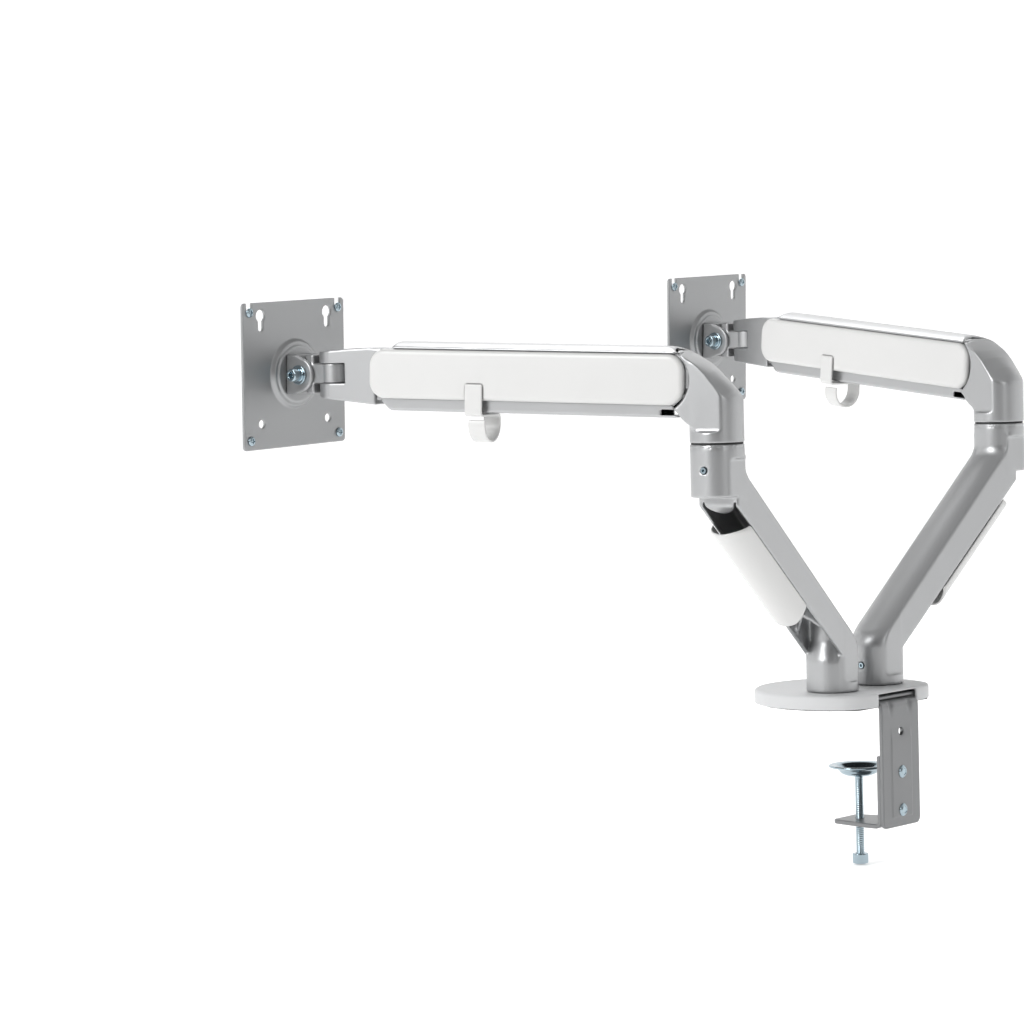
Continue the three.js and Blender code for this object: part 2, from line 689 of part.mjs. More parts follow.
function tiltBracket() {
  const half = 15.5;
  const side = new THREE.Shape();
  side.moveTo(webFront, -half);
  side.lineTo(webFront, half);
  side.lineTo(4, half);
  side.quadraticCurveTo(-2, 14.8, -6.5, 11.3);
  side.absarc(0, 0, earRadius, rad(120), rad(240));
  side.quadraticCurveTo(-2, -14.8, 4, -half);
  return prism(side, 'xz', -earOuter, earOuter, 8)
    .subtract(box(-20, webBack, -earInner, earInner, -30, 30))
    .subtract(bar('y', 4.3, -30, 30, [0, 0]))
    .subtract(bar('x', 6.3, 5, 20));
}

function tiltBolt() {
  const face = earOuter + running;
  const washer = 1.6;
  const bolt = turned('y', [
    [0, -face - 6.5], [4, -face - 6.5], [4, -face - 5.5], [6.5, -face - 5.5], [6.5, -face], [4, -face],
    [4, face], [7.6, face], [7.6, face + washer], [5, face + washer],
    [5, face + 9], [4.4, face + 9.6], [0, face + 9.6],
  ]);
  const socket = toSolid(new THREE.CylinderGeometry(2.5, 2.5, 9, 6).translate(0, face + 9.6, 0));
  return bolt.subtract(socket);
}

// x from the tilt axis, y and z from the plate's centre
const plateBack = plateX - tiltX;
const dish = 4.5;

function hubRivet() {
  const web = webBack + 0.1;
  const flange = plateBack - dish + plateThickness + running;
  return turned('x', [[0, web], [6, web], [6, flange], [14, flange],
    [14, flange + 1.8], [0, flange + 1.8]], [0, 0], round);
}

function vesaPlate() {
  const keyholeTop = 47;
  const half = plateSize / 2;
  const front = plateBack + plateThickness;
  const floor = plateBack - dish;
  let plate = prism(roundedRect(-half, -half, half, half, 3), 'yz', plateBack, front, 4)
    .subtract(bar('x', 24.5, plateBack - 1, front + 1, [0, 0], round));
  plate = plate.add(turned('x', [
    [0, floor], [24, floor], [27.6, plateBack + 0.6], [27.6, front],
    [24.6, front], [21.8, floor + plateThickness],
    [0, floor + plateThickness],
  ], [0, 0], round));
  const holes = [bar('x', 6.3, -10, 30)];
  for (const side of [-1, 1]) {
    holes.push(bar('x', 2.6, 0, 30, [side * vesaHalf, -vesaHalf]));
    holes.push(bar('x', 3, 0, 30, [side * vesaHalf, vesaHalf]));
    holes.push(box(0, 30, side * vesaHalf - 3, side * vesaHalf + 3, vesaHalf, half + 1));
    holes.push(bar('x', 3.3, 0, 30, [side * smallVesaHalf, -smallVesaHalf]));
    holes.push(bar('x', 4.8, 0, 30, [side * smallVesaHalf, keyholeTop]));
    holes.push(bar('x', 2.7, 0, 30, [side * smallVesaHalf, smallVesaHalf]));
    holes.push(box(0, 30, side * smallVesaHalf - 2.7, side * smallVesaHalf + 2.7, smallVesaHalf, keyholeTop));
  }
  return holes.reduce((solid, hole) => solid.subtract(hole), plate);
}

function makeHead(elbowGroup, arm, pitch, upperYaw) {
  const forward = pivotX + linkLength * Math.cos(rad(pitch));
  const up = pivotZ + linkLength * Math.sin(rad(pitch));
  const knuckle = subGroup(elbowGroup, [forward, 0, up]);
  place(knuckle, `${arm}_front_knuckle`, frontKnuckle(), paintedAlloy);
  const swivelFixed = subGroup(knuckle, [swivelX, 0, 0]);
  place(swivelFixed, `${arm}_swivel_pin`, swivelPin(), zinc);
  // the head is turned back so that the plate faces -Y whatever the arm's yaw
  const swivel = subGroup(knuckle, [swivelX, 0, 0], 'z', -90 - upperYaw);
  place(swivel, `${arm}_swivel_block`, swivelBlock(), paintedAlloy);
  const tilt = subGroup(swivel, [tiltX, 0, 0], 'y', -plateTilt);
  place(tilt, `${arm}_tilt_bracket`, tiltBracket(), paintedSteel);
  place(tilt, `${arm}_tilt_bolt`, tiltBolt(), zinc);
  place(tilt, `${arm}_hub_rivet`, hubRivet(), zinc);
  const plate = subGroup(tilt, [0, 0, 0], 'x', plateTurn);
  place(plate, `${arm}_vesa_plate`, vesaPlate(), paintedSteel);
}

// ---------- assembly ----------
const monitorArm = new THREE.Group();
makeBase(monitorArm);
for (const [arm, pose] of Object.entries(poses)) {
  const foot = [pose.side * postSpacing / 2, 0, coverTop];
  const lower = subGroup(monitorArm, foot, 'z', pose.lowerYaw);
  makeLowerArm(lower, arm);
  const elbowGroup = subGroup(lower, [lowerReach, 0, jointHeight], 'z', pose.upperYaw - pose.lowerYaw);
  place(elbowGroup, `${arm}_elbow`, elbow(), paintedAlloy);
  makeUpperArm(elbowGroup, arm, pose.pitch);
  makeHead(elbowGroup, arm, pose.pitch, pose.upperYaw);
}

export default monitorArm;
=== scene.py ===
"""Dual monitor arm on a desk clamp: the looks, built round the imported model.

Castings, pressed sheet and mouldings are worked out as fields. A field gives, at each point of a
lattice, the distance in millimetres to the piece's surface, negative inside. Pieces are joined, cut
and filleted in the field with real radii, and one function draws the skin where it crosses zero.
Lengths are millimetres in a piece's own frame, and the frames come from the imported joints.
"""
import json
import math

import bpy
import numpy as np
from mathutils import Matrix, Vector


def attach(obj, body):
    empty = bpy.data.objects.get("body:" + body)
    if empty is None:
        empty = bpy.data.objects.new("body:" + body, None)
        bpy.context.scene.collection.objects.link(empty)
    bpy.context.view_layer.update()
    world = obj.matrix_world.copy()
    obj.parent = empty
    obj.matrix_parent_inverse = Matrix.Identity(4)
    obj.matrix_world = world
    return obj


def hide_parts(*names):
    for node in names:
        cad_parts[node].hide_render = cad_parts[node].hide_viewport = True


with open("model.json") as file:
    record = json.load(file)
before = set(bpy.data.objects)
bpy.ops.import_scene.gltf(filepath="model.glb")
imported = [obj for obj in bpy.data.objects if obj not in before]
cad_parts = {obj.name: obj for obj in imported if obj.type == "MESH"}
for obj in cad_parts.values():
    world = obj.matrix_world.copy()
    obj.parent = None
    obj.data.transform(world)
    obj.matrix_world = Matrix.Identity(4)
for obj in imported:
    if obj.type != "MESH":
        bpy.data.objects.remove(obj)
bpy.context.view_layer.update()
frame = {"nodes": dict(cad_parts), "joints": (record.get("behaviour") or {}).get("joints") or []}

MM = 0.001
JOINTS = {joint["name"]: joint for joint in frame["joints"]}
ARMS = ("right", "left")

# ---------- dimensions shared with the frame, in millimetres ----------
COVER_TOP = 12.0
COVER_RADIUS = 70.5
COVER_CENTRE_Y = -11.0
COVER_BACK_Y = 40.0
COVER_CORNER = 12.0
HALF_SPACING = 31.2
TUBE = 20.3             # outside radius of the sockets
POST = 13.0
REACH = 162.3           # lower arm, axis to axis
JOINT = 200.8           # elbow joint line above the cover
CHEEK = 17.5            # flat sides of the castings
TOP_SLOPE, UNDER_SLOPE = 0.855, 0.83
PIVOT_X, PIVOT_Z = 40.0, 48.0
LINK = 230.0
LINK_DROP = 15.0
PAD_HALF = 19.0
PAD_IN, PAD_OUT = 13.8, 18.6
PAD_REAR, PAD_FRONT = -21.1, 242.3
HOOK_X = 151.0
HOOK_HALF = 7.3
SWIVEL_X = 50.0
TILT_X = 26.0
PLATE_BACK = 19.2       # tilt axis to the back of the VESA plate
PLATE = 2.5
PLATE_HALF = 57.5
PLATE_TURN = -1.8       # degrees, how the plates hang at rest
VESA, SMALL_VESA = 50.0, 37.5
KEYHOLE_TOP = 47.0
SHEET = 3.5
BRACKET_Y = 42.0
BRACKET_HALF = 25.4
BRACKET_FOOT = -94.8
SCREW_Y = 1.5
CUP_RIM = -49.0


# ---------- fields ----------
def overlap(a, b, r=0.0):
    """What is in both a and b, the shared edge rounded to radius r."""
    if r <= 0:
        return np.maximum(a, b)
    return np.minimum(-r, np.maximum(a, b)) + np.hypot(np.maximum(r + a, 0), np.maximum(r + b, 0))


def join(a, b, r=0.0):
    """What is in a or b, the inner corner filled to radius r."""
    if r <= 0:
        return np.minimum(a, b)
    return np.maximum(r, np.minimum(a, b)) - np.hypot(np.maximum(r - a, 0), np.maximum(r - b, 0))


def carve(a, b, r=0.0):
    """a with b taken away, the new edge rounded to radius r."""
    return overlap(a, -b, r)


def between(t, low, high):
    return np.abs(t - (low + high) / 2) - (high - low) / 2


def round_bar(u, v, radius, cu=0.0, cv=0.0):
    return np.hypot(u - cu, v - cv) - radius


def rounded_rect(u, v, low, high, r):
    """Distance to a rectangle with corners of radius r, worked out from its corner circles."""
    du = between(u, low[0], high[0]) + r
    dv = between(v, low[1], high[1]) + r
    return np.hypot(np.maximum(du, 0), np.maximum(dv, 0)) + np.minimum(np.maximum(du, dv), 0) - r


def to_line(u, v, points, closed=False):
    """Distance to a bent line, the least of the distances to its straight stretches."""
    nearest = np.inf
    ends = zip(points, points[1:] + points[:1] if closed else points[1:])
    for (au, av), (bu, bv) in ends:
        du, dv = bu - au, bv - av
        along = np.clip(((u - au) * du + (v - av) * dv) / (du * du + dv * dv), 0, 1)
        nearest = np.minimum(nearest, np.hypot(u - au - along * du, v - av - along * dv))
    return nearest


def polygon(u, v, points):
    """Signed distance to a closed outline: the sign is where a ray crosses it an odd number of times."""
    crossed = np.zeros(np.broadcast(u, v).shape, bool)
    for (au, av), (bu, bv) in zip(points, points[1:] + points[:1]):
        if av == bv:
            continue
        rises = (av > v) != (bv > v)
        crossed = crossed ^ (rises & (u < (bu - au) * (v - av) / (bv - av) + au))
    distance = to_line(u, v, points, closed=True)
    return np.where(crossed, -distance, distance)


def arc(cu, cv, r, start, end, steps):
    """Points along a circular arc, angles in degrees."""
    angles = np.radians(np.linspace(start, end, steps + 1))
    return list(zip((cu + r * np.cos(angles)).tolist(), (cv + r * np.sin(angles)).tolist()))


def smooth_step(t):
    t = np.clip(t, 0, 1)
    return t * t * (3 - 2 * t)


def skin(values, axes):
    """The surface where a field crosses zero, as one quad for each lattice edge that it cuts.

    Each cell that the surface passes through gets one point, the mean of the cuts on its edges.
    """
    inside = values < 0
    size = np.array(values.shape)
    count = 0
    for i, j, k in np.ndindex(2, 2, 2):
        count = count + inside[i:size[0] - 1 + i, j:size[1] - 1 + j, k:size[2] - 1 + k].astype(np.int8)
    cells = np.argwhere((count > 0) & (count < 8))
    number = np.full(count.shape, -1, np.int64)
    number[tuple(cells.T)] = np.arange(len(cells))
    total = np.zeros((len(cells), 3))
    hits = np.zeros((len(cells), 1))
    unit = np.eye(3, dtype=np.int64)
    quads = []
    for axis in range(3):
        b, c = (axis + 1) % 3, (axis + 2) % 3
        for shift_b, shift_c in np.ndindex(2, 2):
            start = cells + shift_b * unit[b] + shift_c * unit[c]
            first = values[tuple(start.T)]
            second = values[tuple((start + unit[axis]).T)]
            cut = ((first < 0) != (second < 0))[:, None]
            share = first[:, None] / np.where(cut, (first - second)[:, None], 1)
            total += np.where(cut, start + share * unit[axis], 0)
            hits += cut
        low = np.take(inside, np.arange(size[axis] - 1), axis)
        high = np.take(inside, np.arange(1, size[axis]), axis)
        for here, there, order in ((low, high, (0, 1, 2, 3)), (high, low, (3, 2, 1, 0))):
            edges = np.argwhere(here & ~there)
            around = [edges - unit[b] - unit[c], edges - unit[c], edges, edges - unit[b]]
            corners = [number[tuple(around[n].T)] for n in order]
            quads.append(np.stack(corners, 1))
    spots = total / hits
    points = np.stack([np.interp(spots[:, a], np.arange(size[a]), axes[a].ravel()) for a in range(3)], 1)
    return points, np.concatenate(quads)


def solid(field, low, high, step):
    """Draws a field's skin inside a box, on a lattice with the given step or steps."""
    steps = np.broadcast_to(step, 3)
    axes = np.ix_(*[np.arange(a - 2 * s, b + 3 * s, s) for a, b, s in zip(low, high, steps)])
    values = field(*axes) + np.zeros([axis.size for axis in axes])
    return skin(values, axes)


def turned(profile, sides=64):
    """A profile of (radius, height) carried round the z axis, its ends closed on the axis."""
    profile = np.array(profile, float)
    angles = np.linspace(0, 2 * np.pi, sides, endpoint=False)
    rings = np.stack([
        profile[:, None, 0] * np.cos(angles), profile[:, None, 0] * np.sin(angles),
        np.repeat(profile[:, 1:], sides, 1),
    ], -1)
    points = rings.reshape(-1, 3)
    a, b = np.meshgrid(np.arange(len(profile) - 1), np.arange(sides), indexing="ij")
    nxt = (b + 1) % sides
    quads = np.stack([a * sides + b, a * sides + nxt, (a + 1) * sides + nxt, (a + 1) * sides + b], -1)
    return points, quads.reshape(-1, 4)


def rounded_profile(points, r, steps=5):
    """The same corners, each softened with a short curve of about radius r."""
    points = [np.array(p, float) for p in points]
    result = [points[0]]
    for before, corner, after in zip(points, points[1:], points[2:]):
        back, on = before - corner, after - corner
        reach = min(r, np.linalg.norm(back) * 0.45, np.linalg.norm(on) * 0.45)
        start = corner + back / np.linalg.norm(back) * reach
        end = corner + on / np.linalg.norm(on) * reach
        for t in np.linspace(0, 1, steps):
            result.append((1 - t) ** 2 * start + 2 * t * (1 - t) * corner + t * t * end)
    result.append(points[-1])
    return result


# ---------- frames of the moving bodies ----------
def axes_matrix(origin, x, y, z):
    matrix = np.eye(4)
    matrix[:3, 0], matrix[:3, 1], matrix[:3, 2], matrix[:3, 3] = x, y, z, origin
    return matrix


def arm_frames(arm):
    """Each body's own frame: x forward along it, z up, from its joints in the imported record."""
    def joint(name):
        return JOINTS[f"{arm}_{name}"]

    up = np.array([0.0, 0.0, 1.0])
    foot, elbow = np.array(joint("base_turn")["pos_m"]), np.array(joint("elbow_turn")["pos_m"])
    along = (elbow - foot) * [1, 1, 0]
    along /= np.linalg.norm(along)
    side = -np.array(joint("pitch")["axis"], float)
    ahead = np.cross(side, up)
    reach = np.array(joint("spring_stroke")["axis"], float)
    head_side = -np.array(joint("head_tilt")["axis"], float)
    head_ahead = np.cross(head_side, up)
    normal = np.array(joint("plate_turn")["axis"], float)
    tilt = axes_matrix(joint("head_tilt")["pos_m"], normal, head_side, np.cross(normal, head_side))
    turn = np.array(Matrix.Rotation(math.radians(PLATE_TURN), 4, "X"))
    return {
        "lower": axes_matrix(foot, along, np.cross(up, along), up),
        "elbow": axes_matrix(elbow, ahead, side, up),
        "upper": axes_matrix(joint("pitch")["pos_m"], reach, side, np.cross(reach, side)),
        "link": axes_matrix(joint("lower_link_pitch")["pos_m"], reach, side, np.cross(reach, side)),
        "knuckle": axes_matrix(joint("knuckle_level")["pos_m"], ahead, side, up),
        "swivel": axes_matrix(joint("head_swivel")["pos_m"], head_ahead, head_side, up),
        "tilt": tilt,
        "plate": tilt @ turn,
    }


# ---------- making pieces ----------
def build(name, shape, material, body, replaced=(), place=None):
    """One finished piece: its mesh in metres in the row frame, its material, body and CAD nodes."""
    points, quads = shape
    points = np.asarray(points) * MM
    corners = points[quads[:, :3]]
    if np.einsum("ij,ij->", corners[:, 0], np.cross(corners[:, 1], corners[:, 2])) < 0:
        quads = quads[:, ::-1]  # faces look outwards when the volume they enclose is positive
    if place is not None:
        points = points @ place[:3, :3].T + place[:3, 3]
    mesh = bpy.data.meshes.new(name)
    mesh.vertices.add(len(points))
    mesh.vertices.foreach_set("co", points.astype(np.float32).ravel())
    mesh.loops.add(quads.size)
    mesh.loops.foreach_set("vertex_index", quads.astype(np.int32).ravel())
    mesh.polygons.add(len(quads))
    mesh.polygons.foreach_set("loop_start", np.arange(0, quads.size, 4, dtype=np.int32))
    mesh.polygons.foreach_set("use_smooth", np.ones(len(quads), bool))
    mesh.update(calc_edges=True)
    mesh.validate()
    mesh.materials.append(material)
    piece = bpy.data.objects.new(name, mesh)
    bpy.context.scene.collection.objects.link(piece)
    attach(piece, body)
    if replaced:
        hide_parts(*replaced)
    return piece


def moved(shape, matrix):
    points, quads = shape
    return np.asarray(points) @ np.asarray(matrix)[:3, :3].T + np.asarray(matrix)[:3, 3], quads


# ---------- materials ----------
def linear(hex_colour):
    """An sRGB hex colour as linear red, green, blue and alpha."""
    values = [int(hex_colour[i:i + 2], 16) / 255 for i in (1, 3, 5)]
    return [v / 12.92 if v <= 0.04045 else ((v + 0.055) / 1.055) ** 2.4 for v in values] + [1.0]


def add_node(tree, kind, settings=None, links=None):
    """Adds a node, sets its properties and sockets, and links sockets given as (node, output)."""
    node = tree.nodes.new(kind)
    for key, value in (settings or {}).items():
        if key in node.inputs:
            node.inputs[key].default_value = value
        else:
            setattr(node, key, value)
    for key, (source, output) in (links or {}).items():
        tree.links.new(source.outputs[output], node.inputs[key])
    return node


def finish_material(name, colour, metallic, roughness, grain_mm, bump_mm, spread=0.04, coat=0.0, ior=1.5):
    """A coated or moulded surface: a fine grain that lifts it, and broad faint changes of gloss."""
    material = bpy.data.materials.new(name)
    material.use_nodes = True
    tree = material.node_tree
    tree.nodes.clear()
    place = add_node(tree, "ShaderNodeTexCoord")
    grain = add_node(tree, "ShaderNodeTexNoise", {"Scale": 1000 / grain_mm, "Detail": 3.0},
                     {"Vector": (place, "Object")})
    clouds = add_node(tree, "ShaderNodeTexNoise", {"Scale": 18.0, "Detail": 4.0, "Roughness": 0.6},
                      {"Vector": (place, "Object")})
    gloss = add_node(tree, "ShaderNodeMapRange", {"To Min": roughness - spread, "To Max": roughness + spread},
                     {"Value": (clouds, "Fac")})
    base = linear(colour)
    shade = add_node(tree, "ShaderNodeMix", {"data_type": "RGBA"})
    shade.inputs[6].default_value = [c * 0.97 for c in base[:3]] + [1]
    shade.inputs[7].default_value = [min(c * 1.02, 1) for c in base[:3]] + [1]
    tree.links.new(clouds.outputs["Fac"], shade.inputs[0])
    bump = add_node(tree, "ShaderNodeBump", {"Strength": 0.35, "Distance": bump_mm * MM},
                    {"Height": (grain, "Fac")})
    surface = add_node(tree, "ShaderNodeBsdfPrincipled", {
        "Metallic": metallic, "IOR": ior, "Coat Weight": coat, "Coat Roughness": 0.25,
    }, {"Roughness": (gloss, "Result"), "Normal": (bump, "Normal")})
    tree.links.new(shade.outputs[2], surface.inputs["Base Color"])
    add_node(tree, "ShaderNodeOutputMaterial", None, {"Surface": (surface, "BSDF")})
    return material


# Silver powder coat on die-cast aluminium: satin, with metal flake that gives soft broad highlights
powder_on_casting = finish_material("silver_powder_coat", "#b0b1b2", 0.85, 0.36, 0.5, 0.015)
# The same coat on extruded links, a little smoother
powder_on_link = finish_material("silver_powder_coat_link", "#b2b3b4", 0.85, 0.32, 0.5, 0.01)
# Grey powder coat on pressed steel, with the fine orange peel that a thicker coat leaves
powder_on_steel = finish_material("grey_powder_coat", "#a3a4a5", 0.8, 0.38, 0.7, 0.025)
# A darker grey coat on the clamp, which is thicker steel
powder_on_clamp = finish_material("dark_grey_powder_coat", "#838485", 0.75, 0.36, 0.7, 0.025)
# Injection-moulded white ABS, satin
white_abs = finish_material("white_moulded_abs", "#d2d2d1", 0.0, 0.36, 0.35, 0.008, coat=0.15, ior=1.52)
# Pale grey ABS with the fine spark texture of its mould
grey_abs = finish_material("pale_textured_abs", "#c6c7c8", 0.0, 0.46, 0.6, 0.03, ior=1.52)
# Zinc plate with blue passivation: bright, thin-film bluish metal
zinc_plate = finish_material("blue_zinc_plate", "#a6b6be", 1.0, 0.19, 1.2, 0.01, 0.08)
# Black nylon washer
black_nylon = finish_material("black_nylon", "#1c1c1d", 0.0, 0.55, 0.5, 0.01, ior=1.53)
# Closed-cell foam
black_foam = finish_material("black_foam", "#161616", 0.0, 0.9, 0.8, 0.15)
# Black enamel on the gas spring
black_enamel = finish_material("black_enamel", "#121315", 0.0, 0.22, 0.8, 0.01, coat=0.5)


# ---------- base and clamp ----------
def base_outline(x, y, inset):
    """A disc cut straight at the back, its corners rounded, drawn in by an inset."""
    disc = round_bar(x, y, COVER_RADIUS, 0, COVER_CENTRE_Y)
    return overlap(disc, y - COVER_BACK_Y + 0 * x, COVER_CORNER) + inset


def base_cover(x, y, z):
    body = overlap(base_outline(x, y, 0), z - COVER_TOP, 2.6)
    body = overlap(body, 0.8 - z, 0.5)
    body = carve(body, overlap(base_outline(x, y, 2.6), z - 9.2), 0.4)
    notch = np.maximum(np.maximum(np.abs(x) - 26, 25 - y), z - 10.4)
    body = carve(body, notch, 0.4)
    for side in (-1, 1):
        body = carve(body, round_bar(x, y, POST + 0.3, side * HALF_SPACING) + 0 * z, 0.3)
    return body


def base_plate(x, y, z):
    body = overlap(base_outline(x, y, 3.2), between(z, 1.5, 8.1), 0.5)
    pocket = np.maximum(np.maximum(np.abs(x) - BRACKET_HALF - 0.3, -22 - y), z - 5.1)
    return carve(body, pocket, 0.3)


def bent_sheet(y, z, inner, corner_y, corner_z, bend):
    """Distance to a strip's middle surface: flat along -y, one bend, then straight down."""
    flat = np.hypot(np.maximum(y - corner_y, 0), z - (corner_z + bend))
    upright = np.hypot(np.maximum(z - corner_z, 0), y - (corner_y + bend))
    turn = np.abs(np.hypot(y - corner_y, z - corner_z) - bend)
    quarter = (y > corner_y) & (z > corner_z)
    return np.where(quarter, turn, np.minimum(flat, upright)) + inner


def upper_bracket(x, y, z):
    # a shallow raised panel down the middle and two small gussets pressed into the bend
    panel = smooth_step((14.2 - np.abs(x)) / 1.0) * smooth_step((-14 - z) / 14) * smooth_step((z + 88) / 1.5)
    gusset = 0
    for side in (-1, 1):
        gusset = gusset + np.exp(-((x - side * 13) / 2.6) ** 2 - ((y - 41) / 5) ** 2 - ((z - 0.6) / 5) ** 2)
    push = 0.8 * panel - 1.5 * gusset
    middle = bent_sheet(y - push, z - 0 * x, 0, BRACKET_Y - 6, 4.8 - 6, 6 - SHEET / 2)
    body = middle - SHEET / 2
    outline = rounded_rect(x, z, (-BRACKET_HALF, BRACKET_FOOT), (BRACKET_HALF, 40), 5)
    body = overlap(body, np.maximum(outline, -20 - y), 0.7)
    for height, radius in ((-20.2, 3.15), (-52, 3.3), (-82, 3.3)):
        hole = np.maximum(round_bar(x, z, radius, 0, height), 30 - y)
        body = carve(body, hole, 0.4)
    return body


def lower_bracket(x, y, z):
    inner = BRACKET_Y - SHEET - 0.3 - SHEET / 2
    middle = bent_sheet(y, -z, 0, inner - 4, -(BRACKET_FOOT + SHEET / 2 + 4), 4)
    taper = 17.3 + (24 - 17.3) * np.clip((y + 9) / 33, 0, 1)
    plan = overlap(np.abs(x) - taper, -13 - y, 5)
    body = overlap(middle - SHEET / 2, np.maximum(plan, z + 38), 0.6)
    body = carve(body, round_bar(x, y, 3.65, 0, SCREW_Y) + 0 * z, 0.4)
    for height in (-52, -82):
        body = carve(body, np.maximum(round_bar(x, z, 3.3, 0, height), 30 - y), 0.3)
    return body


def socket_bolt(head_r, head_h, shank_r, shank_l, key, step=0.3):
    """A button-head bolt along z: domed head with a six-sided socket, its shank below zero."""
    def field(x, y, z):
        dome = np.sqrt(x * x + y * y + (z + head_r * 0.9) ** 2) - np.hypot(head_r, head_r * 0.9)
        head = overlap(round_bar(x, y, head_r) + 0 * z, np.maximum(dome, np.maximum(-z, z - head_h)), 0.5)
        shank = overlap(round_bar(x, y, shank_r) + 0 * z, between(z, -shank_l, 0.2), 0.4)
        hexagon = -np.inf
        for turn in range(3):
            angle = math.pi * turn / 3
            hexagon = np.maximum(hexagon, np.abs(x * math.cos(angle) + y * math.sin(angle)) - key)
        return carve(join(head, shank), np.maximum(hexagon, head_h * 0.35 - z), 0.25)
    return solid(field, (-head_r, -head_r, -shank_l), (head_r, head_r, head_h), step)


def threaded_shaft(r, low, high, pitch, depth, sides=40):
    """A screw's shaft: its radius falls to the root and back once a turn of the helix."""
    heights = np.arange(low, high + pitch / 10, pitch / 6)
    angles = np.linspace(0, 2 * np.pi, sides, endpoint=False)
    phase = (heights[:, None] / pitch - angles / (2 * np.pi)) % 1
    fade = smooth_step((heights[:, None] - low) / pitch) * smooth_step((high - heights[:, None]) / pitch)
    radius = r - depth * (1 - np.abs(2 * phase - 1)) * fade
    points = np.stack([radius * np.cos(angles), radius * np.sin(angles),
                       np.repeat(heights[:, None], sides, 1)], -1)
    ends = [np.zeros((1, sides, 3)) + [0, 0, heights[0]], np.zeros((1, sides, 3)) + [0, 0, heights[-1]]]
    points = np.concatenate([ends[0], points, ends[1]])
    a, b = np.meshgrid(np.arange(len(points) - 1), np.arange(sides), indexing="ij")
    nxt = (b + 1) % sides
    quads = np.stack([a * sides + b, a * sides + nxt, (a + 1) * sides + nxt, (a + 1) * sides + b], -1)
    return points.reshape(-1, 3), quads.reshape(-1, 4)


def cap_screw_head(x, y, z):
    """The clamp screw's socket head, hanging below its shaft."""
    head = overlap(round_bar(x, y, 6.25) + 0 * z, between(z, -127.2, -119.3), 0.7)
    hexagon = -np.inf
    for turn in range(3):
        angle = math.pi * turn / 3
        hexagon = np.maximum(hexagon, np.abs(x * math.cos(angle) + y * math.sin(angle)) - 3)
    return carve(head, np.maximum(hexagon, z + 123), 0.3)


def clamp_cup():
    t = 1.8
    floor = CUP_RIM - 9
    return turned(rounded_profile([
        (2.6, floor + t), (2.6, floor), (9, floor), (14.2, floor + 2.2),
        (16.6, CUP_RIM - t - 1.6), (19, CUP_RIM - t - 0.5),
        (23.2, CUP_RIM - t), (23.8, CUP_RIM - 1), (23.2, CUP_RIM), (17.6, CUP_RIM - 0.5), (15, CUP_RIM - 2.6),
        (12.6, floor + 4), (8.6, floor + t), (2.6, floor + t),
    ], 1.6), 96)


def make_base():
    along_y = Matrix.Rotation(math.radians(-90), 4, "X")
    cover = solid(base_cover, (-70, -86, 0), (70, 41, 13), (0.9, 0.9, 0.6))
    build("base_cover_shell", cover, grey_abs, "base", ["base_cover"])
    plate = solid(base_plate, (-68, -83, 1), (68, 38, 9), (1.1, 1.1, 0.7))
    build("base_plate_steel", plate, powder_on_clamp, "base", ["base_plate"])
    bracket = solid(upper_bracket, (-26, -21, -96), (26, 43, 6), 0.7)
    build("upper_bracket_steel", bracket, powder_on_clamp, "base", ["upper_clamp_bracket"])
    tongue = solid(lower_bracket, (-25, -14, -96), (25, 39, -37), 0.7)
    build("lower_bracket_steel", tongue, powder_on_clamp, "base", ["lower_clamp_bracket"])
    bolt = socket_bolt(5.4, 3.4, 3.0, 10.0, 2.4)
    for name, height in (("upper", -52), ("lower", -82)):
        place = np.array(Matrix.Translation((0, BRACKET_Y + 0.85, height)) @ along_y)
        build(f"bracket_bolt_{name}", moved(bolt, place), zinc_plate, "base", [f"clamp_bolt_{name}"])
    lift = np.array(Matrix.Translation((0, SCREW_Y, 0)))
    shaft = threaded_shaft(3.35, -119.6, CUP_RIM - 9.6, 1.5, 0.4)
    head = solid(cap_screw_head, (-7, -7, -128), (7, 7, -119), 0.35)
    points = np.concatenate([shaft[0], head[0]])
    quads = np.concatenate([shaft[1], head[1] + len(shaft[0])])
    build("clamp_screw_zinc", moved((points, quads), lift), zinc_plate, "clamp_screw",
          ["clamp_screw"])
    build("clamp_cup_zinc", moved(clamp_cup(), lift), zinc_plate, "clamp_cup", ["clamp_cup"])
    floor = CUP_RIM - 9 + 1.8 + 0.3
    place = np.array(Matrix.Translation((0, SCREW_Y, floor)))
    build("cup_screw_zinc", moved(socket_bolt(4.2, 2.0, 2.3, 2.2, 1.3, 0.25), place), zinc_plate,
          "clamp_cup", ["cup_screw"])


# ---------- lower arm ----------
def under_line(x):
    return 19.15 + UNDER_SLOPE * x


def top_line(x):
    return 38 + TOP_SLOPE * (x + TUBE)


def arch_drop(y):
    """How far a casting's rounded back falls away from its ridge, part of a circle's fall."""
    return 0.7 * (TUBE - np.sqrt(np.maximum(TUBE ** 2 - y ** 2, 1)))


